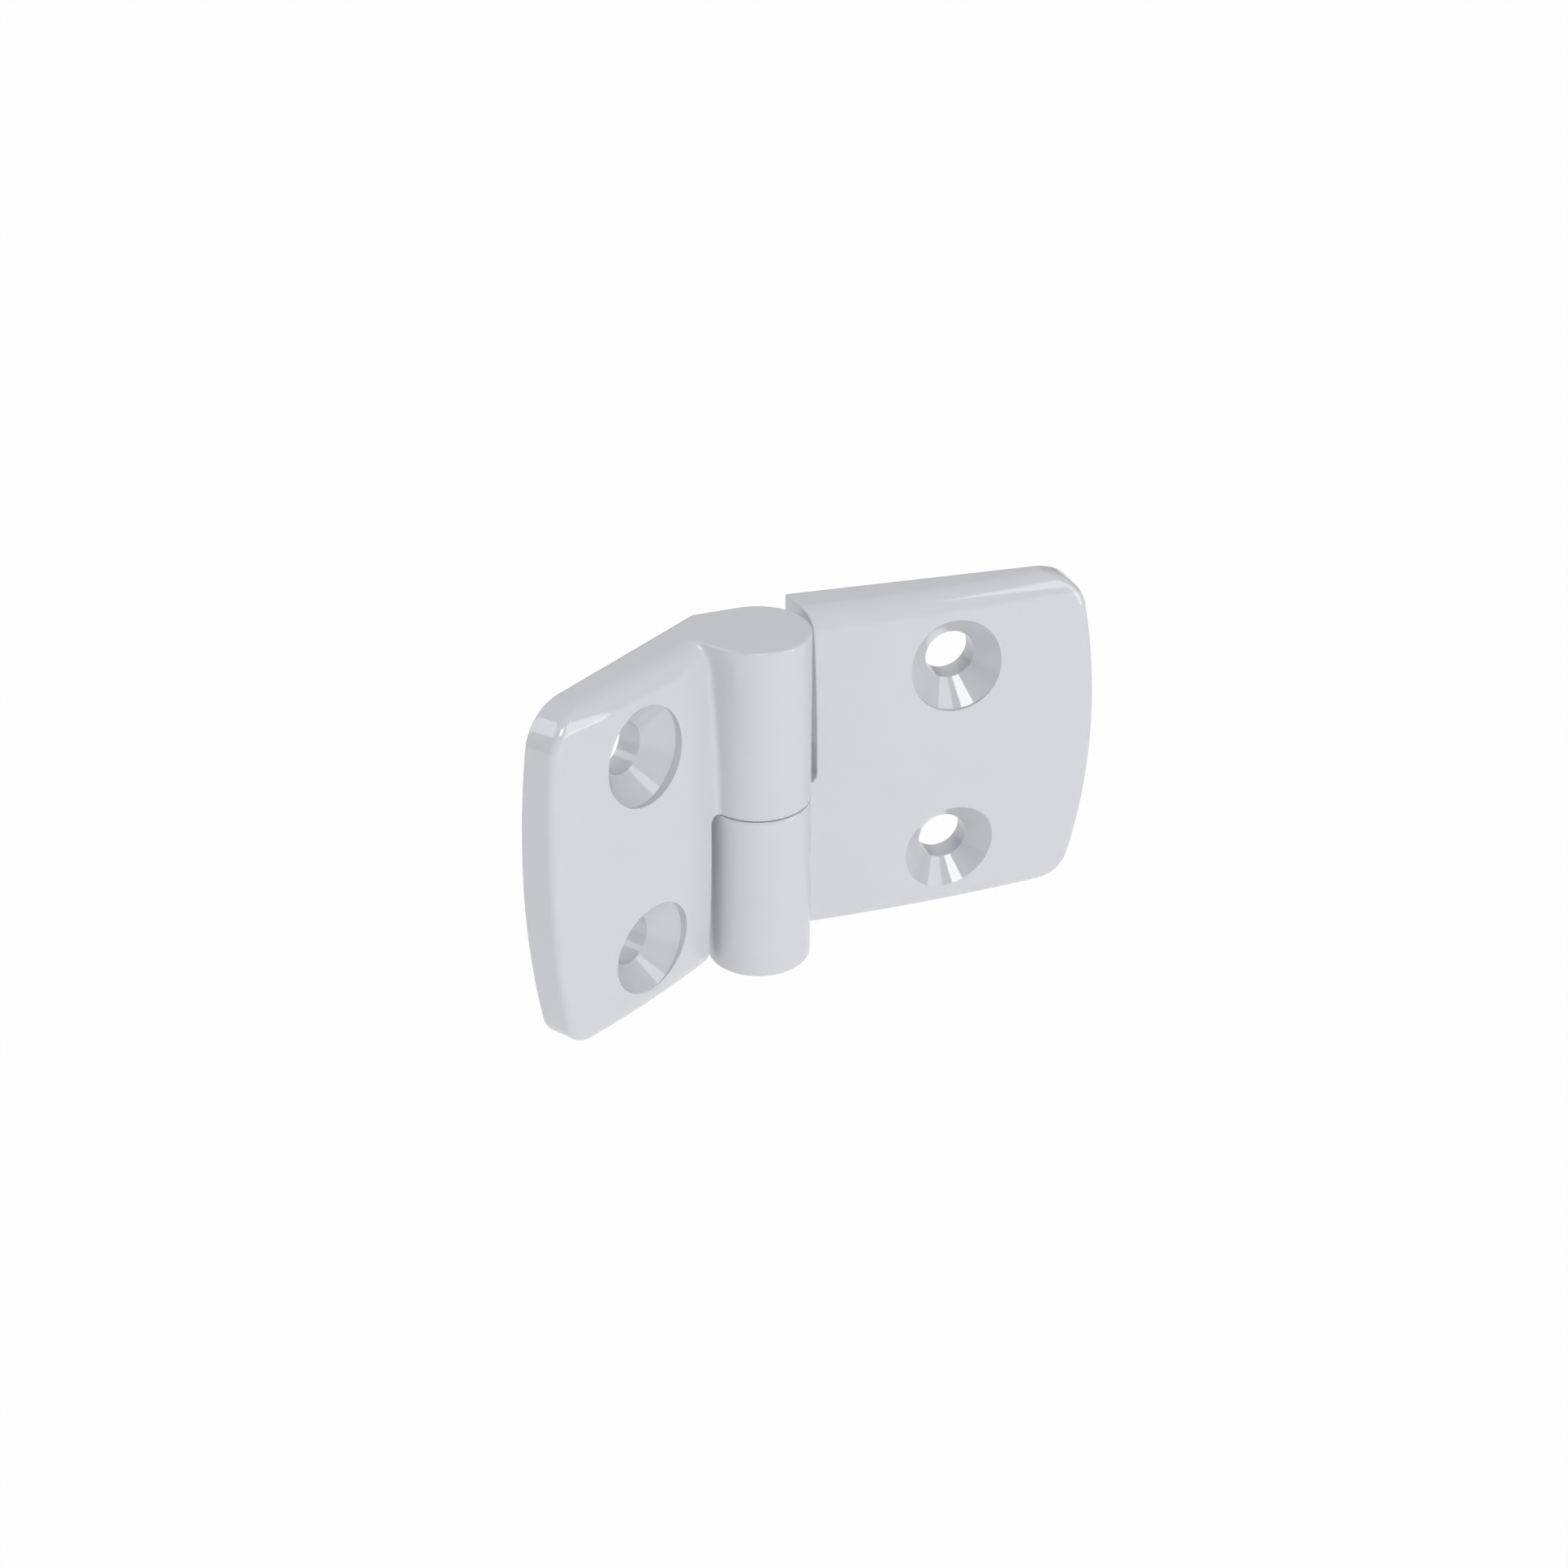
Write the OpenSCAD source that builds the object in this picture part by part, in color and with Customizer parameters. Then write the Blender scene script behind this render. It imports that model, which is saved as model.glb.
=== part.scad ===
// Lift-off hinge of two die-cast leaves, for mounting profiles of two widths.
// The origin is midway between the wide leaf's two screw holes, on its mounting face.
// X runs outwards along that leaf, Y back into what it is screwed to, and Z up along the pin.
// Each piece is drawn about the pin's axis, with z = 0 at the split between the knuckles, and then put in place.

/* [Hinge] */
// height of both leaves and of the pair of knuckles
leaf_h = 44.8; // [40:0.1:60]
// outside diameter of a knuckle
knuckle_d = 13; // [12.6:0.1:14]
// how far the narrow leaf is folded from flat, towards the front
fold = 40; // [0:5:120]
// gap between the two knuckles
knuckle_gap = 0.2; // [0.1:0.05:0.5]

/* [Leaves] */
// from the pin's axis to the outer edge of the wide leaf
wide_reach = 45.5; // [42:0.1:55]
// from the pin's axis to the outer edge of the narrow leaf
narrow_reach = 33.5; // [31:0.1:40]
// from the pin's axis back to the mounting faces
back_y = 8.6; // [8.2:0.1:10]
// from the pin's axis back to the front faces, beside the knuckle
face_y = 1.25; // [1:0.05:1.6]
// how much thinner the wide leaf is at its outer edge
wide_fall = 3; // [1.5:0.1:3.4]
// how much thinner the narrow leaf is at its outer edge
narrow_fall = 2.5; // [1:0.1:3]
// radius of the front faces' crown, seen from the outer edge
crown_r = 200; // [160:5:400]
// radius of the outer edges' bow, seen from the front
bow_r = 91; // [80:1:150]
// radius of the outline's outer corners
corner_r = 4.4; // [4:0.1:7]
// radius along the top and bottom front edges
edge_r = 2.5; // [2:0.1:3]
// radius along the outer front edge
side_r = 1; // [0.9:0.1:1.6]
// radius in the corner between front face and knuckle
web_r = 0.9; // [0.5:0.1:0.9]

/* [Screw holes] */
// height between the two holes of a leaf
hole_pitch = 26.2; // [24:0.1:28]
// from the pin's axis to the holes of the wide leaf
wide_hole_x = 26; // [22:0.1:30]
// from the pin's axis to the holes of the narrow leaf
narrow_hole_x = 18.5; // [17:0.1:20]
// bore for the screw
screw_d = 6.4; // [5.5:0.1:6.6]
// diameter of the countersink
head_d = 12.2; // [11:0.1:12.6]
// length of the plain bore under the countersink
bore_land = 3; // [2:0.1:3.2]

/* [Bearing] */
// diameter of the pin
pin_d = 6; // [5:0.1:6.4]
// how deep the pin and the bush sit in their knuckles
seat_depth = 18; // [14:0.5:18.5]
// wall of the bush
bush_wall = 1; // [0.6:0.1:1.4]
// clearance all round the pin, in the bush and the washer
pin_play = 0.05; // [0.03:0.01:0.1]
// outside diameter of the thrust washer
washer_d = 10; // [9:0.1:10.4]
// thickness of the thrust washer
washer_t = 1; // [0.6:0.1:1.5]
// clearance round the outside of the thrust washer
washer_play = 0.1; // [0.05:0.01:0.2]
// radius on the knuckles' closed ends
end_r = 0.4; // [0.2:0.1:0.6]

/* [Hidden] */
cast_colour = [0.84, 0.845, 0.865];
half_h = leaf_h / 2;
split = knuckle_gap / 2;
knuckle_r = knuckle_d / 2;
leaf_t = back_y - face_y;
past = 1;
// where the front face starts, level with the back
face_x = knuckle_r + web_r;
// recess round the other leaf's knuckle: its radius, the slanted wall behind it and the round at its floor
notch_r = knuckle_r + 1.4;
notch_turn = 32;
notch_back_x = knuckle_r - 0.8;
notch_floor_r = 1.2;
// the back's inner corner on the leaf's own side
heel_x = 1.1;
seam_r = 0.15;
// bore that runs on the pin, and the outside of the bush
running_r = pin_d / 2 + pin_play;
bush_r = running_r + bush_wall;
// the pin's end stays short of the blind end above it, and the bush short of the washer
pin_gap = 1;
bush_inset = 0.3;
pin_chamfer = 0.5;
bush_chamfer = 0.3;
washer_chamfer = 0.15;
// centre of the arc along the top front edge, from the face's highest point
edge_z = half_h - edge_r;
edge_y = crown_r - sqrt((crown_r - edge_r) ^ 2 - edge_z ^ 2);
edge_turn = atan2(edge_z, crown_r - edge_y);
// lean of the outer edge's bow, which follows the crowned face down
bow_lean = 16;
poke = 0.006;
// where the pin's axis stands
pin_place = [-wide_hole_x, -back_y, 0];

// radius of an arc that falls away by fall over run
function arc_r(run, fall) = (run ^ 2 + fall ^ 2) / (2 * fall);

// section across the height of a leaf: x is the depth in front of the face's highest point
module face_section() {
    difference() {
        intersection() {
            translate([-crown_r, 0]) circle(r = crown_r, $fn = 1440);
            translate([-leaf_t - past, -half_h]) square([leaf_t + 2 * past, leaf_h]);
        }
        for (side = [-1, 1])
            scale([1, side]) translate([-edge_y, edge_z]) polygon([
                [0, 0],
                2 * edge_r * [cos(edge_turn), sin(edge_turn)],
                2 * edge_r * [1, 1],
                2 * edge_r * [0, 1]
            ]);
    }
    for (side = [-1, 1])
        translate([-edge_y, side * edge_z]) circle(r = edge_r, $fn = 96);
}

// crowned slab that a leaf is cut from, bowed about an upright axis behind it
module crowned_slab(reach, fall) {
    r = arc_r(reach - face_x, fall);
    inner = asin((face_x + past) / r);
    outer = asin((reach - face_x + past) / r);
    intersection() {
        translate([face_x, face_y + r, 0]) rotate([0, 0, -90 - inner])
            rotate_extrude(angle = inner + outer, $fn = 1440) translate([r, 0]) face_section();
        translate([-past, -knuckle_d, -leaf_h]) cube([reach + 2 * past, knuckle_d + back_y, 2 * leaf_h]);
    }
}

// lean of the front face at the outer edge
function side_lean(reach, fall) = asin((reach - side_r - face_x) / arc_r(reach - face_x, fall));

// depth of the centre of the round along the outer edge
function side_y(reach, fall) =
    face_y + arc_r(reach - face_x, fall) * (1 - cos(side_lean(reach, fall)))
    + (side_r - poke) * cos(side_lean(reach, fall));

// everything inside the bowed outer edge and its rounded front corner
module bow_limit(reach, fall) {
    lean = side_lean(reach, fall);
    y = side_y(reach, fall);
    turn = bow_r * cos(bow_lean);
    away = lean + 8;
    length = 0.6 * turn;
    translate([reach, y, 0]) rotate([0, 0, -bow_lean]) translate([-turn, 0, 0]) rotate([-90, 0, 0])
        rotate([0, 0, -30]) rotate_extrude(angle = 60, $fn = 720) translate([turn, 0]) rotate(bow_lean) {
            translate([-side_r, 0]) circle(r = side_r, $fn = 64);
            translate([-side_r, 0]) polygon([
                [0, 0],
                side_r * [sin(away), -cos(away)],
                side_r * [sin(away), -cos(away)] - length * [cos(away), sin(away)],
                [-length, 2 * back_y],
                [side_r, 2 * back_y],
                [side_r, 0]
            ]);
        }
}

// what rounding the outline's outer corners takes away, top and bottom, with the front edge rounded along
module corner_cuts(reach, fall) {
    bow_x = reach - bow_r;
    z = half_h - corner_r;
    x = bow_x + sqrt((bow_r - corner_r) ^ 2 - z ^ 2);
    turn = atan2(z, x - bow_x);
    y = side_y(reach, fall) + (bow_r - sqrt(bow_r ^ 2 - z ^ 2)) * tan(bow_lean);
    for (side = [-1, 1])
        scale([1, 1, side]) translate([x, 0, z]) rotate([90, 0, 0]) rotate([0, 0, turn])
            rotate_extrude(angle = 90 - turn, $fn = 128) difference() {
                translate([corner_r - side_r, -2 * back_y]) square([2 * corner_r, 3 * back_y]);
                translate([corner_r - side_r + poke, -y]) circle(r = side_r, $fn = 64);
                translate([0, -2 * back_y - past]) square([corner_r + poke, 2 * back_y + past - y]);
            }
}

// knuckle with a rounded closed end below and its flat top at the split
module knuckle() {
    rotate_extrude($fn = 128) difference() {
        translate([0, -half_h]) square([knuckle_r, half_h - split]);
        round_off(knuckle_r, -half_h, end_r, [1, -1]);
        round_off(knuckle_r, -split, seam_r, [1, 1]);
    }
}

// what a round of radius r takes from the corner at [x, y] that points towards out
module round_off(x, y, r, out) {
    translate([x, y]) scale(out) difference() {
        translate([-r, -r]) square(r + past);
        translate([-r, -r]) circle(r = r, $fn = 32);
    }
}

// tangent point of the relief behind the knuckle
function relief_turn() = atan2(back_y, heel_x) + acos(knuckle_r / norm([heel_x, back_y]));

// block that joins the knuckle to its leaf, with the slanted relief behind
module knuckle_root() {
    turn = relief_turn();
    intersection() {
        translate([0, 0, -half_h]) linear_extrude(half_h - split) polygon([
            [0, 0],
            [knuckle_r, 0],
            [knuckle_r, back_y],
            [heel_x, back_y],
            (knuckle_r - poke) * [cos(turn), sin(turn)]
        ]);
        translate([0, back_y + past, 0]) rotate([90, 0, 0]) linear_extrude(back_y + 2 * past) difference() {
            translate([-knuckle_r, -half_h]) square([2 * knuckle_r, half_h - split]);
            round_off(knuckle_r, -half_h, end_r, [1, -1]);
            round_off(knuckle_r, -split, seam_r, [1, 1]);
        }
    }
}

// section of the concave corner between the knuckle's side and a face that lies at radius r
module web_section(r) {
    translate([r, knuckle_r]) difference() {
        translate([-web_r, -web_r]) square(2 * web_r);
        translate([web_r - poke, web_r - poke]) circle(r = web_r, $fn = 48);
    }
}

// the concave corner, which follows the crowned face and rolls over its bottom edge
module knuckle_web() {
    intersection() {
        union() {
            translate([0, face_y + crown_r, 0]) rotate([0, 90, 0]) rotate([0, 0, -90])
                rotate_extrude(angle = edge_turn, $fn = 1440) web_section(crown_r);
            translate([0, face_y + edge_y, -edge_z]) rotate([0, 90, 0]) rotate([0, 0, edge_turn - 90])
                rotate_extrude(angle = 90 - edge_turn, $fn = 96) web_section(edge_r);
        }
        translate([0, 0, -half_h]) cube([2 * knuckle_r, back_y, half_h - split]);
    }
}

// recess above the split that clears the other leaf's knuckle
module notch() {
    wall = notch_r * [cos(notch_turn), sin(notch_turn)];
    slant = [notch_back_x, back_y] - wall;
    translate([0, 0, -split]) {
        rotate_extrude($fn = 128) difference() {
            square([notch_r, leaf_h]);
            round_off(notch_r, 0, notch_floor_r, [1, -1]);
        }
        linear_extrude(leaf_h) polygon([
            [0, 0],
            wall,
            wall + 1.5 * slant,
            [-2 * knuckle_r, back_y + 2 * past],
            [-2 * knuckle_r, 0]
        ]);
    }
}

// screw hole with a countersink and a short straight rim
module screw_hole(x, z) {
    cone_y = back_y - bore_land;
    rim_y = cone_y - (head_d - screw_d) / 2;
    translate([x, 0, z]) rotate([-90, 0, 0]) rotate_extrude($fn = 96) polygon([
        [0, -past],
        [head_d / 2, -past],
        [head_d / 2, rim_y],
        [screw_d / 2, cone_y],
        [screw_d / 2, back_y + past],
        [0, back_y + past]
    ]);
}

// one casting: a leaf with its knuckle below the split, and a blind seat of radius seat_r bored into the knuckle
module leaf(reach, fall, hole_x, seat_r) {
    difference() {
        union() {
            difference() {
                intersection() {
                    crowned_slab(reach, fall);
                    bow_limit(reach, fall);
                    translate([knuckle_r - past, -past, -leaf_h]) cube([reach, 2 * back_y, 2 * leaf_h]);
                }
                corner_cuts(reach, fall);
                notch();
            }
            knuckle();
            knuckle_root();
            knuckle_web();
        }
        for (side = [-1, 1]) screw_hole(hole_x, side * hole_pitch / 2);
        translate([0, 0, -seat_depth]) cylinder(r = seat_r, h = seat_depth + past);
    }
}

// turned ring with its bore and outer edges broken
module ring(outer_r, bore_r, length, chamfer) {
    rotate_extrude($fn = 96) polygon([
        [bore_r, 0],
        [outer_r - chamfer, 0],
        [outer_r, chamfer],
        [outer_r, length - chamfer],
        [outer_r - chamfer, length],
        [bore_r, length]
    ]);
}

module wide_leaf() {
    color(cast_colour) translate(pin_place) difference() {
        leaf(wide_reach, wide_fall, wide_hole_x, pin_d / 2);
        translate([0, 0, split - washer_t]) cylinder(r = washer_d / 2 + washer_play, h = washer_t);
    }
}

module narrow_leaf() {
    color(cast_colour) translate(pin_place) rotate([0, 0, fold]) rotate([0, 180, 0])
        leaf(narrow_reach, narrow_fall, narrow_hole_x, bush_r);
}

module hinge_pin() {
    length = 2 * seat_depth - pin_gap;
    color("silver") translate(pin_place) translate([0, 0, -seat_depth]) rotate_extrude($fn = 96) polygon([
        [0, 0],
        [pin_d / 2 - pin_chamfer, 0],
        [pin_d / 2, pin_chamfer],
        [pin_d / 2, length - pin_chamfer],
        [pin_d / 2 - pin_chamfer, length],
        [0, length]
    ]);
}

module bearing_bush() {
    length = seat_depth - split - bush_inset;
    color("goldenrod") translate(pin_place) translate([0, 0, split + bush_inset])
        ring(bush_r, running_r, length, bush_chamfer);
}

module thrust_washer() {
    color("goldenrod") translate(pin_place) translate([0, 0, split - washer_t])
        ring(washer_d / 2, running_r, washer_t, washer_chamfer);
}

wide_leaf();
narrow_leaf();
hinge_pin();
bearing_bush();
thrust_washer();
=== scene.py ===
import math

import bpy
import bmesh
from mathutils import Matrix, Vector


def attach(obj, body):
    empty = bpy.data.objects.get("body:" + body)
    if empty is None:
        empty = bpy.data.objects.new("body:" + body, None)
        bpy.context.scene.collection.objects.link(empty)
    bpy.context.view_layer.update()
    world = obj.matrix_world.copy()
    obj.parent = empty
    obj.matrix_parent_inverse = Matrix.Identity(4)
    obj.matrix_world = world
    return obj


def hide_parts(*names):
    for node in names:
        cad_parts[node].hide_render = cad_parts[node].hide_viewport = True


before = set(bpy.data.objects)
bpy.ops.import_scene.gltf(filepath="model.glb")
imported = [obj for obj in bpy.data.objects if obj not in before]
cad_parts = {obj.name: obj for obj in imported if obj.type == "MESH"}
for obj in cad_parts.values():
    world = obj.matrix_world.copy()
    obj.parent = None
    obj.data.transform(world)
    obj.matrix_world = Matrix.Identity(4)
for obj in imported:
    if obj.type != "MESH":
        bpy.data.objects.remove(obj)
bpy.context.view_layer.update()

print("frame loaded")

mm = 0.001
mixFirst, mixSecond, mixResult = 6, 7, 2  # a Mix node's colour sockets, which share their names with others


def addNode(tree, kind, inputs=(), **settings):
    node = tree.nodes.new(kind)
    for name, value in settings.items():
        setattr(node, name, value)
    pairs = inputs.items() if isinstance(inputs, dict) else enumerate(inputs)
    for key, value in pairs:
        if isinstance(value, bpy.types.Node):
            value = value.outputs[0]
        if isinstance(value, bpy.types.NodeSocket):
            tree.links.new(value, node.inputs[key])
        else:
            node.inputs[key].default_value = value
    return node


def linearColour(hexValue):
    parts = [int(hexValue[i:i + 2], 16) / 255 for i in (1, 3, 5)]
    return [p / 12.92 if p <= 0.04045 else ((p + 0.055) / 1.055) ** 2.4 for p in parts] + [1]


def newMaterial(name):
    material = bpy.data.materials.new(name)
    material.use_nodes = True
    tree = material.node_tree
    shader = tree.nodes["Principled BSDF"]
    return material, tree, shader


# powder coat in silver grey, sprayed on the die-cast zinc and baked: it flows out to a smooth semi-gloss skin,
# so light boxes show in it with crisp edges, and a faint swell keeps broad faces from looking like plastic
coat = {
    "colour": "#D4D5DA",
    "deepColour": "#D1D2D7",
    "holeShadeColour": "#CCCDD2",  # painted shade: a darker coat colour on the cut faces of the holes and the seat, standing in for the shade that falls in these recesses
    "shadePatch": 5.0,     # mm across the faint patches of deeper colour
    "roughness": 0.045,
    "peelSize": 1.4,       # mm between the swells, drawn coarser than the real 0.5 mm so that they show
    "peelHeight": 0.0012,  # mm
}
# ground steel, bright and turned: fine rings round the pin stretch the glints along it
steel = {
    "colour": "#B4B6B9",
    "grooveColour": "#9A9DA1",
    "roughness": 0.24,
    "ringPitch": 0.35,     # mm, drawn coarser than a real ground finish so that it shows
    "ringDepth": 0.002,    # mm
}
# sintered bronze-brass of the bush and the washer: warm, open-pored and half matt
brass = {
    "colour": "#C39A55",
    "poreColour": "#8F6C36",
    "roughness": 0.34,
    "poreSize": 0.3,       # mm
    "poreEdge": (0.05, 0.35),  # how far from a pore's middle its dark ends, as a share of the spacing
    "poreDepth": 0.01,     # mm
}


def makePowderCoat():
    material, tree, shader = newMaterial("powderCoatOnZinc")
    coords = addNode(tree, "ShaderNodeTexCoord").outputs["Object"]
    tone = addNode(tree, "ShaderNodeTexNoise", {
        "Vector": coords, "Scale": 1 / (coat["shadePatch"] * mm), "Detail": 2.0})
    colour = addNode(tree, "ShaderNodeMix", {
        "Factor": tone, mixFirst: linearColour(coat["deepColour"]), mixSecond: linearColour(coat["colour"])},
        data_type="RGBA")
    # painted shade: the cut faces of the holes and the seat take a darker colour, for the shade that falls in
    # them
    inHole = addNode(tree, "ShaderNodeAttribute", attribute_name="inHole").outputs["Fac"]
    colour = addNode(tree, "ShaderNodeMix", {
        "Factor": inHole, mixFirst: colour.outputs[mixResult], mixSecond: linearColour(coat["holeShadeColour"])},
        data_type="RGBA")
    tree.links.new(colour.outputs[mixResult], shader.inputs["Base Color"])
    peel = addNode(tree, "ShaderNodeTexNoise", {
        "Vector": coords, "Scale": 1 / (coat["peelSize"] * mm), "Detail": 1.0})
    bump = addNode(tree, "ShaderNodeBump", {
        "Height": peel, "Distance": coat["peelHeight"] * mm, "Strength": 1.0})
    tree.links.new(bump.outputs[0], shader.inputs["Normal"])
    shader.inputs["Roughness"].default_value = coat["roughness"]
    return material


def makeGroundSteel():
    material, tree, shader = newMaterial("groundSteel")
    coords = addNode(tree, "ShaderNodeTexCoord").outputs["Object"]
    height = addNode(tree, "ShaderNodeSeparateXYZ", [coords]).outputs["Z"]
    rings = addNode(tree, "ShaderNodeTexNoise", {
        "W": height, "Scale": 1 / (steel["ringPitch"] * mm), "Detail": 3.0}, noise_dimensions="1D")
    colour = addNode(tree, "ShaderNodeMix", {
        "Factor": rings, mixFirst: linearColour(steel["grooveColour"]),
        mixSecond: linearColour(steel["colour"])},
        data_type="RGBA")
    tree.links.new(colour.outputs[mixResult], shader.inputs["Base Color"])
    bump = addNode(tree, "ShaderNodeBump", {
        "Height": rings, "Distance": steel["ringDepth"] * mm, "Strength": 1.0})
    tree.links.new(bump.outputs[0], shader.inputs["Normal"])
    shader.inputs["Metallic"].default_value = 1.0
    shader.inputs["Roughness"].default_value = steel["roughness"]
    return material


def makeSinteredBrass():
    material, tree, shader = newMaterial("sinteredBrass")
    coords = addNode(tree, "ShaderNodeTexCoord").outputs["Object"]
    pores = addNode(tree, "ShaderNodeTexVoronoi", {"Vector": coords, "Scale": 1 / (brass["poreSize"] * mm)})
    metal = addNode(tree, "ShaderNodeMapRange", {
        "Value": pores, "From Min": brass["poreEdge"][0], "From Max": brass["poreEdge"][1]})
    colour = addNode(tree, "ShaderNodeMix", {
        "Factor": metal, mixFirst: linearColour(brass["poreColour"]), mixSecond: linearColour(brass["colour"])},
        data_type="RGBA")
    tree.links.new(colour.outputs[mixResult], shader.inputs["Base Color"])
    bump = addNode(tree, "ShaderNodeBump", {
        "Height": metal, "Distance": brass["poreDepth"] * mm, "Strength": 1.0})
    tree.links.new(bump.outputs[0], shader.inputs["Normal"])
    shader.inputs["Metallic"].default_value = 1.0
    shader.inputs["Roughness"].default_value = brass["roughness"]
    return material


powderCoat = makePowderCoat()
groundSteel = makeGroundSteel()
sinteredBrass = makeSinteredBrass()
print("finishes made")

# sizes of both castings in millimetres, each in its own frame: x along the leaf, y back from the pin's axis,
# z along the pin, with the split between the knuckles at z = 0
casting = {
    "halfHeight": 22.4,
    "faceStart": 7.15,     # x where the front face leaves the knuckle
    "faceDepth": 1.25,     # y of the front face there
    "backDepth": 8.6,      # y of the flat back
    "crownRadius": 200.0,  # of the front face, from top to bottom
    "bowRadius": 91.0,     # of the outer edge, seen from the front
    "cornerRadius": 4.4,   # of the outline's outer corners
    "edgeRadius": 2.5,     # along the top and bottom front edges
    "sideRadius": 0.85,    # along the outer front edge
    "webRadius": 0.65,     # in the corner between face and knuckle
    "knuckleRadius": 6.5,
    "endRadius": 0.3,      # on the knuckle's closed end
    "heelReach": 1.1,      # x of the back's inner corner
    "notchTurn": math.radians(32),  # where the recess's round wall goes over into the slanted one behind
    "notchBackReach": 5.7,  # x of the slanted wall at the back
    "notchFloor": 1.2,     # radius in the foot of the round wall
    "rimRadius": 0.15,     # along all edges of the recess
    "backEdge": 0.25,      # radius round the back
    "split": 0.07,         # half of the seam between the knuckles
}
wideLeaf = {
    "reach": 45.3,         # from the pin's axis to the outer edge
    "fall": 3.0,           # how much thinner it is there
    "notchRadius": 7.9,    # of the recess for the other leaf's knuckle
    "holeReach": 26.0,     # from the pin's axis to the screw holes
    "seatRadius": 3.0,     # the pin is pressed in
    "recessRadius": 5.1,   # the thrust washer lies in it
    "recessDepth": 0.9,
    "seatDepth": 18.0,
}
narrowLeaf = {
    "reach": 33.45,
    "fall": 2.6,
    "notchRadius": 7.78,
    "holeReach": 18.5,
    "seatRadius": 4.05,    # the bush is pressed in
    "recessRadius": 4.05,  # no wider than the seat, because there is no washer
    "recessDepth": 0.9,
    "seatDepth": 18.0,
}
screwHole = {"pitch": 26.2, "boreRadius": 3.15, "headRadius": 6.1, "boreLand": 3.0, "sides": 160}
fold = math.radians(40)        # how far the narrow leaf is turned from flat to the front
pinPlace = (-26.0, -8.6, 0.0)  # mm, the pin's middle in the shared frame
overlap = 1.0                  # mm that bodies and cutters reach past each other
# how the castings are meshed, in millimetres
meshing = {
    "cell": 0.16,
    "adaptivity": 0.01,
    "settleTurns": 3,      # how often each point is moved towards the true surface
    "slopeStep": 0.01,     # to either side of a point, where the slope is measured
    "skinGap": 0.05,       # faces nearer than this to the true surface are cast skin, the others are cut
    "sharpAngle": math.radians(25),
    "room": 1.0,           # left round the casting on all sides
}


def outerRound(name, a, b, radius):  # the rounded edge where two faces of one body meet
    return [
        (name + "OverA", "ADD", a, radius),
        (name + "OverA", "MAXIMUM", name + "OverA", 0),
        (name + "OverB", "ADD", b, radius),
        (name + "OverB", "MAXIMUM", name + "OverB", 0),
        (name + "SquareA", "MULTIPLY", name + "OverA", name + "OverA"),
        (name + "Squares", "MULTIPLY_ADD", name + "OverB", name + "OverB", name + "SquareA"),
        (name + "Arc", "SQRT", name + "Squares"),
        (name + "Sharp", "MAXIMUM", a, b),
        (name + "Depth", "MULTIPLY", radius, -1),
        (name + "Inside", "MINIMUM", name + "Sharp", name + "Depth"),
        (name, "ADD", name + "Inside", name + "Arc"),
    ]


def innerRound(name, a, b, radius):  # the hollow round where two bodies grow together
    return [
        (name + "NearA", "SUBTRACT", radius, a),
        (name + "NearA", "MAXIMUM", name + "NearA", 0),
        (name + "NearB", "SUBTRACT", radius, b),
        (name + "NearB", "MAXIMUM", name + "NearB", 0),
        (name + "SquareA", "MULTIPLY", name + "NearA", name + "NearA"),
        (name + "Squares", "MULTIPLY_ADD", name + "NearB", name + "NearB", name + "SquareA"),
        (name + "Arc", "SQRT", name + "Squares"),
        (name + "Sharp", "MINIMUM", a, b),
        (name + "Outside", "MAXIMUM", name + "Sharp", radius),
        (name, "SUBTRACT", name + "Outside", name + "Arc"),
    ]


fadePower = 3        # how late the round of the outer edge dies out along the corner
nearNothing = 0.001  # mm, keeps a divisor or a radius from reaching zero

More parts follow.
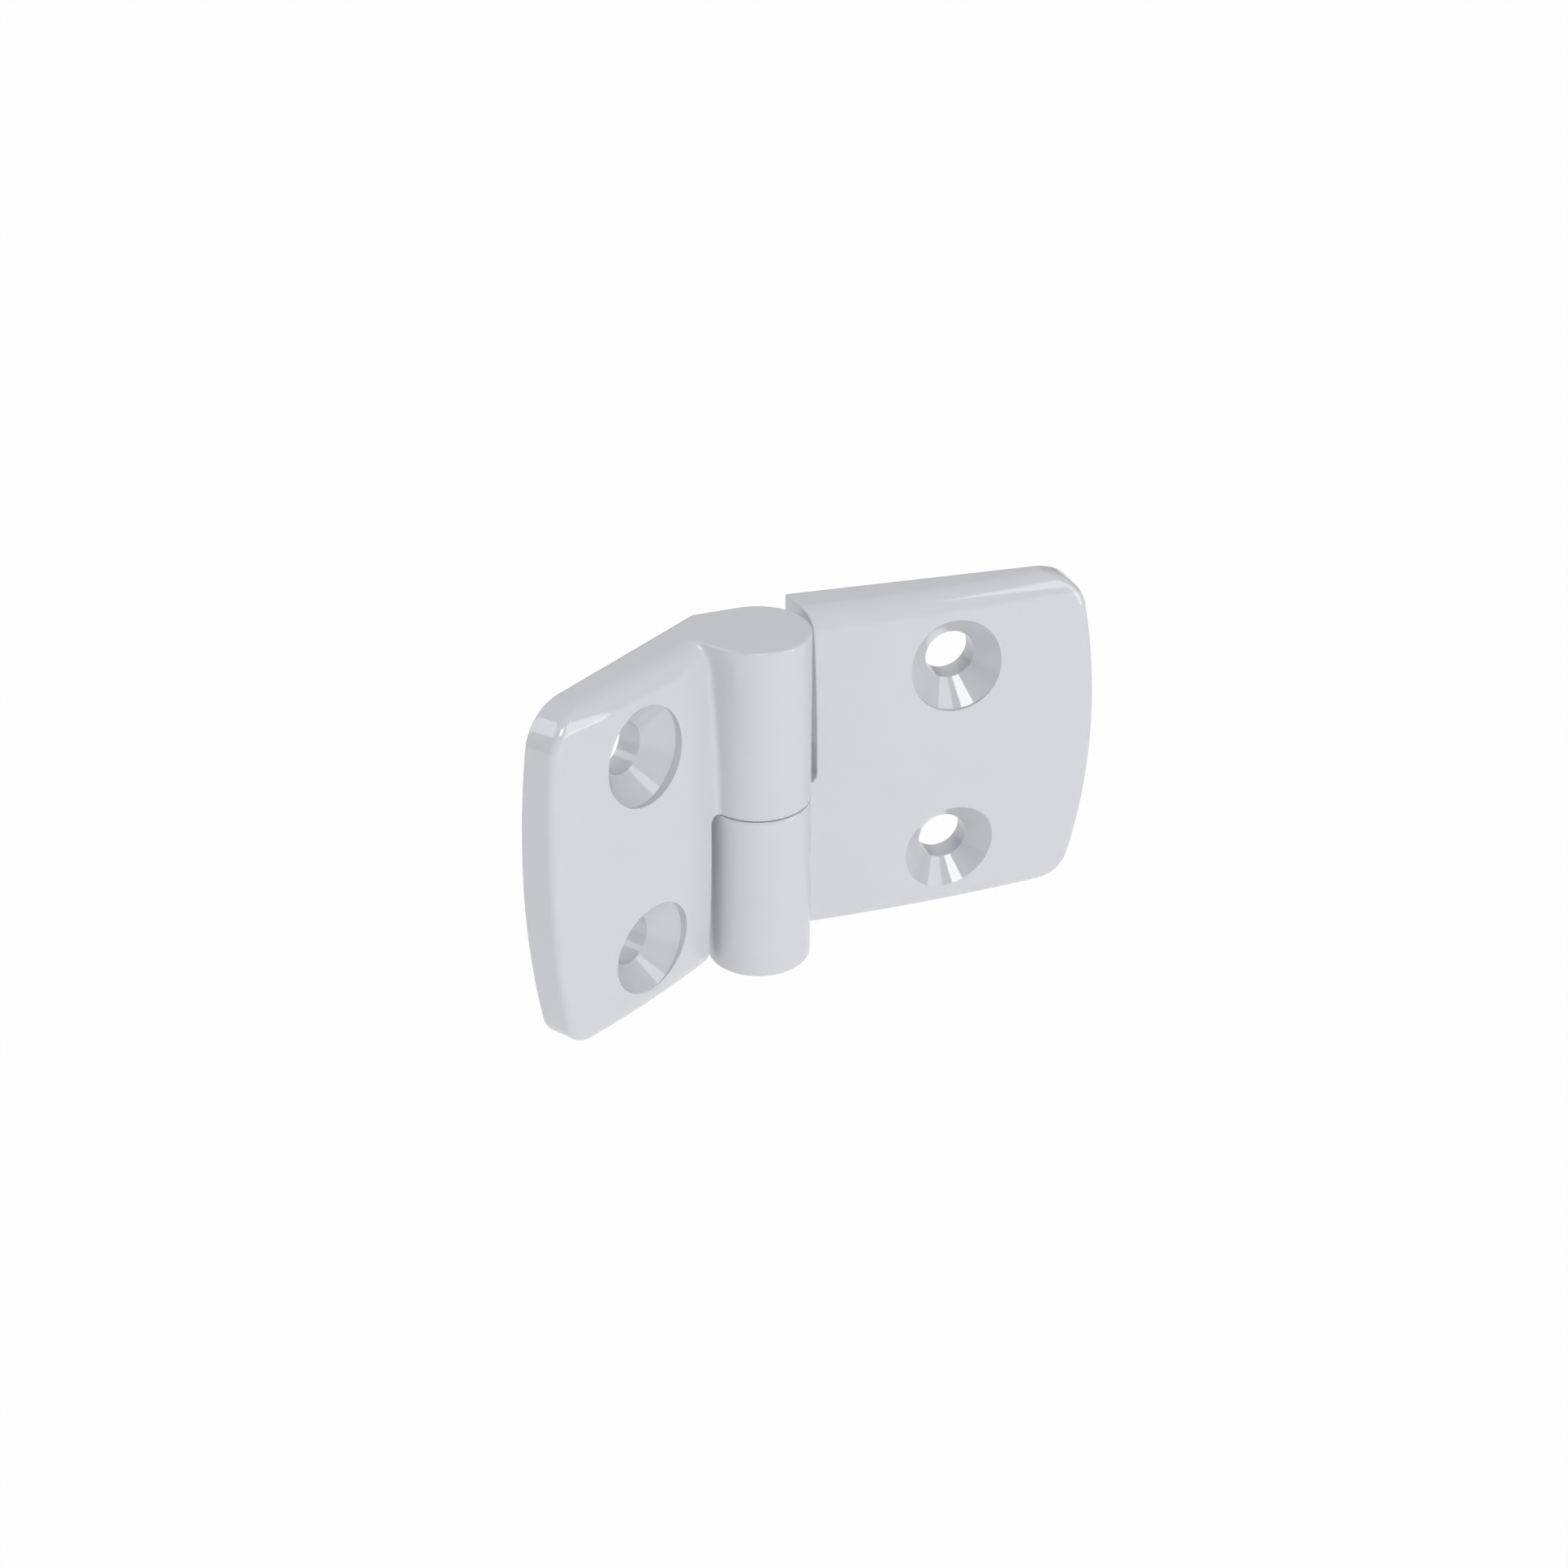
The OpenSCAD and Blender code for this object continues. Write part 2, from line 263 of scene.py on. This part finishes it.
# how far a point lies outside the casting, worked out line by line: name, operation, inputs
leafRule = [
    # crowned front face, falling away towards the outer edge
    ("run", "SUBTRACT", "reach", "faceStart"),
    ("runSquare", "MULTIPLY", "run", "run"),
    ("fallSum", "MULTIPLY_ADD", "fall", "fall", "runSquare"),
    ("fallTwice", "MULTIPLY", "fall", 2),
    ("fallRadius", "DIVIDE", "fallSum", "fallTwice"),
    ("along", "SUBTRACT", "x", "faceStart"),
    ("alongSquare", "MULTIPLY", "along", "along"),
    ("fallRadiusSquare", "MULTIPLY", "fallRadius", "fallRadius"),
    ("fallRest", "SUBTRACT", "fallRadiusSquare", "alongSquare"),
    ("fallRoot", "SQRT", "fallRest"),
    ("fallen", "SUBTRACT", "fallRadius", "fallRoot"),
    ("zSquare", "MULTIPLY", "z", "z"),
    ("crownSquare", "MULTIPLY", "crownRadius", "crownRadius"),
    ("crownRest", "SUBTRACT", "crownSquare", "zSquare"),
    ("crownRoot", "SQRT", "crownRest"),
    ("crowned", "SUBTRACT", "crownRadius", "crownRoot"),
    ("faceFall", "ADD", "fallen", "crowned"),
    ("face", "ADD", "faceFall", "faceDepth"),
    ("front", "SUBTRACT", "face", "y"),
    # top and bottom, bowed outer edge, round corners
    ("height", "ABSOLUTE", "z"),
    ("ends", "SUBTRACT", "height", "halfHeight"),
    ("bowCentre", "SUBTRACT", "reach", "bowRadius"),
    ("bowRun", "SUBTRACT", "x", "bowCentre"),
    ("bowSum", "MULTIPLY_ADD", "bowRun", "bowRun", "zSquare"),
    ("bowRoot", "SQRT", "bowSum"),
    ("side", "SUBTRACT", "bowRoot", "bowRadius"),
    *outerRound("section", "front", "ends", "edgeRadius"),
    *outerRound("outline", "side", "ends", "cornerRadius"),
    # the round of the outer edge dies out where the corner has turned level
    ("turnSum", "ADD", "outlineOverA", "outlineOverB"),
    ("turnSafe", "MAXIMUM", "turnSum", nearNothing),
    ("turnLeft", "DIVIDE", "outlineOverB", "turnSafe"),
    ("turnFade", "POWER", "turnLeft", fadePower),
    ("turnShare", "SUBTRACT", 1, "turnFade"),
    ("rimTurned", "MULTIPLY", "turnShare", "sideRadius"),
    ("rimSafe", "MAXIMUM", "rimTurned", nearNothing),
    *outerRound("plateOpen", "section", "outline", "rimSafe"),
    ("plateStart", "SUBTRACT", "knuckleRadius", overlap),
    ("inner", "SUBTRACT", "plateStart", "x"),
    ("plate", "MAXIMUM", "plateOpen", "inner"),
    # knuckle and the root block behind it, with its slanted relief
    ("ySquare", "MULTIPLY", "y", "y"),
    ("radiusSum", "MULTIPLY_ADD", "x", "x", "ySquare"),
    ("radius", "SQRT", "radiusSum"),
    ("barrel", "SUBTRACT", "radius", "knuckleRadius"),
    ("heelSquare", "MULTIPLY", "heelReach", "heelReach"),
    ("heelSum", "MULTIPLY_ADD", "backDepth", "backDepth", "heelSquare"),
    ("heelRadius", "SQRT", "heelSum"),
    ("heelRatio", "DIVIDE", "knuckleRadius", "heelRadius"),
    ("heelSpread", "ARCCOSINE", "heelRatio"),
    ("heelBearing", "ARCTAN2", "backDepth", "heelReach"),
    ("heelTurn", "ADD", "heelBearing", "heelSpread"),
    ("heelCosine", "COSINE", "heelTurn"),
    ("heelSine", "SINE", "heelTurn"),
    ("reliefX", "MULTIPLY", "x", "heelCosine"),
    ("reliefSum", "MULTIPLY_ADD", "y", "heelSine", "reliefX"),
    ("relief", "SUBTRACT", "reliefSum", "knuckleRadius"),
    ("reliefEndX", "MULTIPLY", "x", "heelSine"),
    ("reliefEndY", "MULTIPLY", "y", "heelCosine"),
    ("reliefEnd", "SUBTRACT", "reliefEndY", "reliefEndX"),
    ("flank", "SUBTRACT", "x", "knuckleRadius"),
    ("ahead", "MULTIPLY", "y", -1),
    ("blockFlank", "MAXIMUM", "flank", "ahead"),
    ("blockRelief", "MAXIMUM", "blockFlank", "relief"),
    ("block", "MAXIMUM", "blockRelief", "reliefEnd"),
    ("root", "MINIMUM", "barrel", "block"),
    *outerRound("knuckle", "root", "ends", "endRadius"),
    *innerRound("webbed", "plate", "knuckle", "webRadius"),
    ("flush", "MAXIMUM", "webbed", "ends"),
    ("back", "SUBTRACT", "y", "backDepth"),
    *outerRound("body", "flush", "back", "backEdge"),
    # recess that clears the other casting's knuckle: a round wall in front and a slanted one behind it
    ("disc", "SUBTRACT", "radius", "notchRadius"),
    ("wallCosine", "COSINE", "notchTurn"),
    ("wallSine", "SINE", "notchTurn"),
    ("wallX", "MULTIPLY", "notchRadius", "wallCosine"),
    ("wallY", "MULTIPLY", "notchRadius", "wallSine"),
    ("slantX", "SUBTRACT", "notchBackReach", "wallX"),
    ("slantY", "SUBTRACT", "backDepth", "wallY"),
    ("slantSquare", "MULTIPLY", "slantX", "slantX"),
    ("slantSum", "MULTIPLY_ADD", "slantY", "slantY", "slantSquare"),
    ("slantLength", "SQRT", "slantSum"),
    ("wallRunX", "SUBTRACT", "x", "wallX"),
    ("wallRunY", "SUBTRACT", "y", "wallY"),
    ("wallCrossY", "MULTIPLY", "wallRunY", "slantX"),
    ("wallCrossX", "MULTIPLY", "wallRunX", "slantY"),
    ("wallCross", "SUBTRACT", "wallCrossX", "wallCrossY"),
    ("slant", "DIVIDE", "wallCross", "slantLength"),
    ("aheadX", "MULTIPLY", "x", "wallSine"),
    ("aheadY", "MULTIPLY", "y", "wallCosine"),
    ("aheadWall", "SUBTRACT", "aheadX", "aheadY"),
    ("slantOpen", "MAXIMUM", "slant", "aheadWall"),
    ("slantBehind", "MAXIMUM", "slantOpen", "ahead"),
    ("aboveSplit", "ADD", "z", "split"),
    ("floor", "MULTIPLY", "aboveSplit", -1),
    *outerRound("roundRecess", "disc", "floor", "notchFloor"),
    *outerRound("slantRecess", "slantBehind", "floor", "rimRadius"),
    ("notch", "MINIMUM", "roundRecess", "slantRecess"),
    ("kept", "MULTIPLY", "notch", -1),
    *outerRound("leaf", "body", "kept", "rimRadius"),
]
leafSizes = list(casting) + ["reach", "fall", "notchRadius"]


def makeFieldTree():
    tree = bpy.data.node_groups.new("castingField", "GeometryNodeTree")
    tree.interface.new_socket("Position", in_out="INPUT", socket_type="NodeSocketVector")
    for name in leafSizes:
        tree.interface.new_socket(name, in_out="INPUT", socket_type="NodeSocketFloat")
    tree.interface.new_socket("Distance", in_out="OUTPUT", socket_type="NodeSocketFloat")
    given = addNode(tree, "NodeGroupInput")
    split = addNode(tree, "ShaderNodeSeparateXYZ", [given.outputs["Position"]])
    known = {name: given.outputs[name] for name in leafSizes}
    known.update(x=split.outputs[0], y=split.outputs[1], z=split.outputs[2])
    for name, operation, *inputs in leafRule:
        inputs = [known[i] if isinstance(i, str) else i for i in inputs]
        known[name] = addNode(tree, "ShaderNodeMath", inputs, operation=operation).outputs[0]
    addNode(tree, "NodeGroupOutput", [known["leaf"]])
    return tree


# a bar with four rings along its length, turned to a radius at each, as a cutter for holes and seats
def makeCutterTree():
    tree = bpy.data.node_groups.new("turnedCutter", "GeometryNodeTree")
    tree.interface.new_socket("Sides", in_out="INPUT", socket_type="NodeSocketInt")
    rings = ("level", "radius")
    lastRing = 3
    for kind in rings:
        for i in range(lastRing + 1):
            tree.interface.new_socket(kind + str(i), in_out="INPUT", socket_type="NodeSocketFloat")
    tree.interface.new_socket("Cutter", in_out="OUTPUT", socket_type="NodeSocketGeometry")
    given = addNode(tree, "NodeGroupInput")
    bar = addNode(tree, "GeometryNodeMeshCylinder", {
        "Vertices": given.outputs["Sides"], "Side Segments": lastRing, "Radius": 1.0, "Depth": float(lastRing)})
    place = addNode(tree, "ShaderNodeSeparateXYZ", [addNode(tree, "GeometryNodeInputPosition")])
    ring = addNode(tree, "ShaderNodeMath", [place.outputs[2], lastRing / 2], operation="ADD")
    values = []
    for kind in rings:
        choice = addNode(tree, "GeometryNodeIndexSwitch", data_type="FLOAT")
        while len(choice.index_switch_items) <= lastRing:
            choice.index_switch_items.new()
        tree.links.new(ring.outputs[0], choice.inputs["Index"])
        for i in range(lastRing + 1):
            tree.links.new(given.outputs[kind + str(i)], choice.inputs[str(i)])
        values.append(choice.outputs[0])
    level, radius = values
    x = addNode(tree, "ShaderNodeMath", [place.outputs[0], radius], operation="MULTIPLY")
    y = addNode(tree, "ShaderNodeMath", [place.outputs[1], radius], operation="MULTIPLY")
    turned = addNode(tree, "ShaderNodeCombineXYZ", [x, y, level])
    shaped = addNode(tree, "GeometryNodeSetPosition", {"Geometry": bar.outputs["Mesh"], "Position": turned})
    addNode(tree, "NodeGroupOutput", [shaped])
    return tree


def makeLeafTree(field, cutter):
    tree = bpy.data.node_groups.new("castLeaf", "GeometryNodeTree")
    ownSizes = leafSizes + ["holeReach", "holePitch", "boreRadius", "headRadius", "boreLand",
                            "seatRadius", "seatDepth", "recessRadius", "recessDepth"]
    for name in ownSizes:
        tree.interface.new_socket(name, in_out="INPUT", socket_type="NodeSocketFloat")
    tree.interface.new_socket("Low", in_out="INPUT", socket_type="NodeSocketVector")
    tree.interface.new_socket("High", in_out="INPUT", socket_type="NodeSocketVector")
    for name in ("Cells X", "Cells Y", "Cells Z", "Sides"):
        tree.interface.new_socket(name, in_out="INPUT", socket_type="NodeSocketInt")
    tree.interface.new_socket("Material", in_out="INPUT", socket_type="NodeSocketMaterial")
    tree.interface.new_socket("Leaf", in_out="OUTPUT", socket_type="NodeSocketGeometry")
    given = addNode(tree, "NodeGroupInput")

    def distanceAt(position):
        inputs = {name: given.outputs[name] for name in leafSizes}
        inputs["Position"] = position
        return addNode(tree, "GeometryNodeGroup", inputs, node_tree=field).outputs[0]

    def slopeAt(position):
        parts = []
        for axis in range(3):
            step = [meshing["slopeStep"] if i == axis else 0 for i in range(3)]
            ahead = addNode(tree, "ShaderNodeVectorMath", [position, step], operation="ADD").outputs[0]
            behind = addNode(tree, "ShaderNodeVectorMath", [position, step], operation="SUBTRACT").outputs[0]
            parts.append(addNode(tree, "ShaderNodeMath", [distanceAt(ahead), distanceAt(behind)],
                                 operation="SUBTRACT"))
        slope = addNode(tree, "ShaderNodeCombineXYZ", parts)
        scaled = addNode(tree, "ShaderNodeVectorMath", {0: slope, "Scale": 0.5 / meshing["slopeStep"]},
                         operation="SCALE")
        return scaled.outputs[0]

    here = addNode(tree, "GeometryNodeInputPosition").outputs[0]
    inside = addNode(tree, "ShaderNodeMath", [distanceAt(here), -1], operation="MULTIPLY")
    cloud = addNode(tree, "GeometryNodeVolumeCube", {
        "Density": inside, "Background": -1.0, "Min": given.outputs["Low"], "Max": given.outputs["High"],
        "Resolution X": given.outputs["Cells X"], "Resolution Y": given.outputs["Cells Y"],
        "Resolution Z": given.outputs["Cells Z"]})
    geometry = addNode(tree, "GeometryNodeVolumeToMesh", {
        "Volume": cloud, "Threshold": 0.0, "Adaptivity": meshing["adaptivity"]}, resolution_mode="GRID")
    for turn in range(meshing["settleTurns"]):  # settle every point on the true surface
        slope = slopeAt(here)
        square = addNode(tree, "ShaderNodeVectorMath", [slope, slope], operation="DOT_PRODUCT").outputs["Value"]
        share = addNode(tree, "ShaderNodeMath", [inside, square], operation="DIVIDE")
        shift = addNode(tree, "ShaderNodeVectorMath", {0: slope, "Scale": share}, operation="SCALE")
        geometry = addNode(tree, "GeometryNodeSetPosition", {"Geometry": geometry, "Offset": shift})

    # two countersunk holes and the seat in the knuckle
    def turnedBar(levels, radii):
        inputs = {"level" + str(i): level for i, level in enumerate(levels)}
        inputs.update({"radius" + str(i): radius for i, radius in enumerate(radii)})
        inputs["Sides"] = given.outputs["Sides"]
        return addNode(tree, "GeometryNodeGroup", inputs, node_tree=cutter)

    head, bore = given.outputs["headRadius"], given.outputs["boreRadius"]
    landStart = addNode(tree, "ShaderNodeMath", [given.outputs["backDepth"], given.outputs["boreLand"]],
                        operation="SUBTRACT")
    headRun = addNode(tree, "ShaderNodeMath", [head, bore], operation="SUBTRACT")
    coneStart = addNode(tree, "ShaderNodeMath", [landStart, headRun], operation="SUBTRACT")
    past = addNode(tree, "ShaderNodeMath", [given.outputs["backDepth"], overlap], operation="ADD")
    hole = turnedBar((-overlap, coneStart, landStart, past), (head, head, bore, bore))
    turnedHole = addNode(tree, "GeometryNodeTransform", {"Geometry": hole, "Rotation": (-math.pi / 2, 0, 0)})
    halfPitch = addNode(tree, "ShaderNodeMath", [given.outputs["holePitch"], -0.5], operation="MULTIPLY")
    first = addNode(tree, "ShaderNodeCombineXYZ", [given.outputs["holeReach"], 0.0, halfPitch])
    pitch = addNode(tree, "ShaderNodeCombineXYZ", [0.0, 0.0, given.outputs["holePitch"]])
    row = addNode(tree, "GeometryNodeMeshLine", {"Count": 2, "Start Location": first, "Offset": pitch})
    holes = addNode(tree, "GeometryNodeInstanceOnPoints", {"Points": row, "Instance": turnedHole})
    holes = addNode(tree, "GeometryNodeRealizeInstances", [holes])
    seatEdge, recessEdge = given.outputs["seatRadius"], given.outputs["recessRadius"]
    seatFloor = addNode(tree, "ShaderNodeMath", [given.outputs["seatDepth"], -1], operation="MULTIPLY")
    recessFloor = addNode(tree, "ShaderNodeMath", [given.outputs["recessDepth"], -1], operation="MULTIPLY")
    seat = turnedBar((seatFloor, recessFloor, recessFloor, overlap),
                     (seatEdge, seatEdge, recessEdge, recessEdge))
    cut = addNode(tree, "GeometryNodeMeshBoolean", {"Mesh 1": geometry}, operation="DIFFERENCE", solver="EXACT")
    for cutterPart in (holes, seat):
        tree.links.new(cutterPart.outputs[0], cut.inputs["Mesh 2"])
    smooth = addNode(tree, "GeometryNodeSetShadeSmooth", {"Geometry": cut})
    # true normals on the cast skin, sharp edges round the holes
    angle = addNode(tree, "GeometryNodeInputMeshEdgeAngle").outputs["Unsigned Angle"]
    sharp = addNode(tree, "FunctionNodeCompare", [angle, meshing["sharpAngle"]],
                    data_type="FLOAT", operation="GREATER_THAN")
    skinGap = addNode(tree, "ShaderNodeMath", [distanceAt(here)], operation="ABSOLUTE")
    skin = addNode(tree, "FunctionNodeCompare", [skinGap, meshing["skinGap"]],
                   data_type="FLOAT", operation="LESS_THAN")
    notSkin = addNode(tree, "ShaderNodeMath", [1, skin], operation="SUBTRACT")
    marked = smooth
    for name, value, kind, domain in (
            ("sharp_edge", sharp, "BOOLEAN", "EDGE"),
            ("castSkin", skin, "BOOLEAN", "FACE"),
            ("skinNormal", slopeAt(here), "FLOAT_VECTOR", "POINT"),
            # mask for the painted shade in the holes and the seat: every face off the cast skin
            ("inHole", notSkin, "FLOAT", "FACE")):
        marked = addNode(tree, "GeometryNodeStoreNamedAttribute", {
            "Geometry": marked, "Name": name, "Value": value}, data_type=kind, domain=domain)
    finished = addNode(tree, "GeometryNodeRealizeInstances", [marked])
    finished = addNode(tree, "GeometryNodeSetMaterial", {
        "Geometry": finished, "Material": given.outputs["Material"]})
    addNode(tree, "NodeGroupOutput", [finished])
    return tree


fieldTree = makeFieldTree()
cutterTree = makeCutterTree()
leafTree = makeLeafTree(fieldTree, cutterTree)


# a leaf as a plain mesh: turned is for the one that stands on its head and folds to the front
def makeLeaf(name, sizes, material, turned):
    holder = bpy.data.objects.new(name + "Base", bpy.data.meshes.new(name + "Base"))
    bpy.context.scene.collection.objects.link(holder)
    modifier = holder.modifiers.new("castLeaf", "NODES")
    modifier.node_group = leafTree
    room = meshing["room"]
    knuckleEdge = -casting["knuckleRadius"] - room
    low = [knuckleEdge, knuckleEdge, -casting["halfHeight"] - room]
    high = [sizes["reach"] + room, casting["backDepth"] + room, casting["halfHeight"] + room]
    values = {**casting, **sizes}
    values.update({
        "holePitch": screwHole["pitch"], "boreRadius": screwHole["boreRadius"],
        "headRadius": screwHole["headRadius"], "boreLand": screwHole["boreLand"],
        "Low": low, "High": high, "Sides": screwHole["sides"], "Material": material,
    })
    for axis, letter in enumerate("XYZ"):
        values["Cells " + letter] = round((high[axis] - low[axis]) / meshing["cell"])
    for socket in leafTree.interface.items_tree:
        if socket.in_out == "INPUT":
            modifier[socket.identifier] = values[socket.name]
    bpy.context.view_layer.update()
    evaluated = holder.evaluated_get(bpy.context.evaluated_depsgraph_get())
    mesh = bpy.data.meshes.new_from_object(evaluated)
    mesh.name = name
    bpy.data.objects.remove(holder)
    # put in place, in metres, with the true normals on the cast skin
    cosine, sine = math.cos(fold), math.sin(fold)
    normals = [None] * len(mesh.loops)
    skin = mesh.attributes["castSkin"].data
    slopes = mesh.attributes["skinNormal"].data

    def placed(v):
        if turned:
            v = Vector((-v[0], v[1], -v[2]))
            v = Vector((v[0] * cosine - v[1] * sine, v[0] * sine + v[1] * cosine, v[2]))
        return v

    shaded = [c.vector.copy() for c in mesh.corner_normals]
    for polygon in mesh.polygons:
        onSkin = skin[polygon.index].value
        for loop in polygon.loop_indices:
            slope = slopes[mesh.loops[loop].vertex_index].vector.normalized()
            normals[loop] = placed(slope if onSkin else shaded[loop])
    for vertex in mesh.vertices:
        vertex.co = (placed(vertex.co) + Vector(pinPlace)) * mm
    mesh.attributes.remove(mesh.attributes["castSkin"])
    mesh.attributes.remove(mesh.attributes["skinNormal"])
    mesh.normals_split_custom_set(normals)
    mesh.update()
    piece = bpy.data.objects.new(name, mesh)
    bpy.context.scene.collection.objects.link(piece)
    print(name, "made:", len(mesh.polygons), "faces")
    return piece


wide = makeLeaf("wideLeaf", wideLeaf, powderCoat, False)
narrow = makeLeaf("narrowLeaf", narrowLeaf, powderCoat, True)
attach(wide, "wide_side")
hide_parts("wide_leaf")
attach(narrow, "narrow_side")
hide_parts("narrow_leaf")

# the bearing parts keep their CAD shape: they only show when the hinge is lifted apart
for node, material in (
        ("hinge_pin", groundSteel), ("bearing_bush", sinteredBrass), ("thrust_washer", sinteredBrass)):
    for slot in bpy.data.objects[node].material_slots:
        slot.material = material
print("bearing parts finished")

studio = {
    "floorDrop": 90.0,     # mm from the pin's middle down to the floor
    "floorReach": 4.0,     # m from its middle to its edges
    "floorColour": "#EEEEEE",
    "floorRoughness": 0.9,
    "floorGlow": 0.97,     # how near the floor is to plain white, as the camera and the gloss see it
    "skyColour": (0.975, 0.98, 1.0, 1),
    "skyStrength": 0.37,
    "wallColour": (0.98, 0.985, 1.0, 1),
    "wallLow": 0.06,       # strength of the far wall as the coat mirrors it: dark low down
    "wallHigh": 0.55,      # and paler high up
    "wallLift": (16.0, 28.0),  # degrees above the horizon between which it changes
}


# the direction from the part, with azimuth 0 straight out of its mounting face and turning to the right
def aim(azimuth, elevation):
    turn, lift = math.radians(azimuth), math.radians(elevation)
    return Vector((math.sin(turn) * math.cos(lift), -math.cos(turn) * math.cos(lift), math.sin(lift)))


def makeFloor():
    bm = bmesh.new()
    bmesh.ops.create_grid(bm, x_segments=1, y_segments=1, size=studio["floorReach"])
    mesh = bpy.data.meshes.new("floor")
    bm.to_mesh(mesh)
    bm.free()
    for vertex in mesh.vertices:
        vertex.co.z = -studio["floorDrop"] * mm
    floor = bpy.data.objects.new("floor", mesh)
    bpy.context.scene.collection.objects.link(floor)
    material, tree, shader = newMaterial("paleFloor")
    shader.inputs["Base Color"].default_value = linearColour(studio["floorColour"])
    shader.inputs["Roughness"].default_value = studio["floorRoughness"]
    path = addNode(tree, "ShaderNodeLightPath")
    glow = addNode(tree, "ShaderNodeEmission", {"Color": (1, 1, 1, 1), "Strength": 1.0})
    seen = addNode(tree, "ShaderNodeMath", [path.outputs["Is Camera Ray"], path.outputs["Is Glossy Ray"]],
                   operation="MAXIMUM")
    share = addNode(tree, "ShaderNodeMath", [seen, studio["floorGlow"]], operation="MULTIPLY")
    mix = addNode(tree, "ShaderNodeMixShader", [share, shader, glow])
    tree.links.new(mix.outputs[0], tree.nodes["Material Output"].inputs["Surface"])
    mesh.materials.append(material)


def makeWorld():
    world = bpy.data.worlds.new("softStudio")
    bpy.context.scene.world = world
    world.use_nodes = True
    tree = world.node_tree
    background = tree.nodes["Background"]
    path = addNode(tree, "ShaderNodeLightPath")
    background.inputs["Color"].default_value = studio["skyColour"]
    background.inputs["Strength"].default_value = studio["skyStrength"]
    low, high = [math.sin(math.radians(lift)) for lift in studio["wallLift"]]
    sight = addNode(tree, "ShaderNodeSeparateXYZ", [addNode(tree, "ShaderNodeTexCoord").outputs["Generated"]])
    wall = addNode(tree, "ShaderNodeMapRange", {
        "Value": sight.outputs["Z"], "From Min": low, "From Max": high,
        "To Min": studio["wallLow"], "To Max": studio["wallHigh"]})
    mirrored = addNode(tree, "ShaderNodeBackground", {"Color": studio["wallColour"], "Strength": wall})
    mix = addNode(tree, "ShaderNodeMixShader", [path.outputs["Is Glossy Ray"], background, mirrored])
    white = addNode(tree, "ShaderNodeBackground", {"Color": (1, 1, 1, 1), "Strength": 1.0})
    mix = addNode(tree, "ShaderNodeMixShader", [path.outputs["Is Camera Ray"], mix, white])
    tree.links.new(mix.outputs[0], tree.nodes["World Output"].inputs["Surface"])


# soft boxes, placed by the direction that they are seen in from the part, with sizes and distances in metres:
# some light the coat's colour, and the ones for the gloss only are the bright box fronts that the coat mirrors
lamps = [
    {"name": "frontLight", "azimuth": 0, "elevation": 15, "distance": 1.0,
     "size": (0.5, 0.6), "radiance": 2.7, "gloss": False},
    {"name": "rightLight", "azimuth": 30, "elevation": 15, "distance": 1.0,
     "size": (0.5, 0.6), "radiance": 2.95, "gloss": False},
    {"name": "leftLight", "azimuth": -97, "elevation": 15, "distance": 1.0,
     "size": (0.5, 0.6), "radiance": 1.8, "gloss": False},
    {"name": "backLeftLight", "azimuth": -150, "elevation": 15, "distance": 1.0,
     "size": (0.5, 0.6), "radiance": 1.6, "gloss": False},
    {"name": "backLight", "azimuth": 170, "elevation": 55, "distance": 1.0,
     "size": (0.6, 0.5), "radiance": 2.5, "gloss": False},
    {"name": "topLight", "azimuth": 0, "elevation": 88, "distance": 1.0,
     "size": (0.6, 0.6), "radiance": 0.9, "gloss": False},
    {"name": "rightBox", "azimuth": 52.2, "elevation": 31.7, "distance": 0.529,
     "size": (0.213, 0.755), "radiance": 3.2, "gloss": True, "upright": True},
    {"name": "overBox", "azimuth": -4.5, "elevation": 55, "distance": 0.9,
     "size": (0.32, 0.34), "radiance": 10.0, "gloss": True},
    {"name": "leftBox", "azimuth": -103.5, "elevation": 41, "distance": 1.1,
     "size": (0.353, 0.85), "radiance": 2.9, "gloss": True, "upright": True},
]


def addLamp(name, azimuth, elevation, distance, size, radiance, gloss, upright=False):
    lamp = bpy.data.lights.new(name, "AREA")
    lamp.shape = "RECTANGLE"
    lamp.size, lamp.size_y = size
    lamp.energy = radiance * math.pi * size[0] * size[1]
    holder = bpy.data.objects.new(name, lamp)
    holder.location = aim(azimuth, elevation) * distance
    facing = 0 if upright else elevation
    holder.rotation_euler = aim(azimuth, facing).to_track_quat("Z", "Y").to_euler()
    holder.visible_diffuse = not gloss
    holder.visible_glossy = gloss
    bpy.context.scene.collection.objects.link(holder)


makeFloor()
makeWorld()
for lamp in lamps:
    addLamp(**lamp)

view = {
    "target": (-23.07, -9.979, 1.905),  # mm, like the distance
    "distance": 263.6,
    "azimuth": -15.0,
    "elevation": 30.0,
    "lens": 50.0,
    "sensor": 36.0,
    "nearest": 0.01,       # m
}


def makeCamera():
    camera = bpy.data.cameras.new("photoCamera")
    camera.lens = view["lens"]
    camera.sensor_width = view["sensor"]
    camera.clip_start = view["nearest"]
    holder = bpy.data.objects.new("photoCamera", camera)
    away = aim(view["azimuth"], view["elevation"])
    holder.location = (Vector(view["target"]) + away * view["distance"]) * mm
    holder.rotation_euler = (-away).to_track_quat("-Z", "Y").to_euler()
    bpy.context.scene.collection.objects.link(holder)
    bpy.context.scene.camera = holder


makeCamera()
bpy.context.scene.view_settings.view_transform = "Standard"
print("stage set")
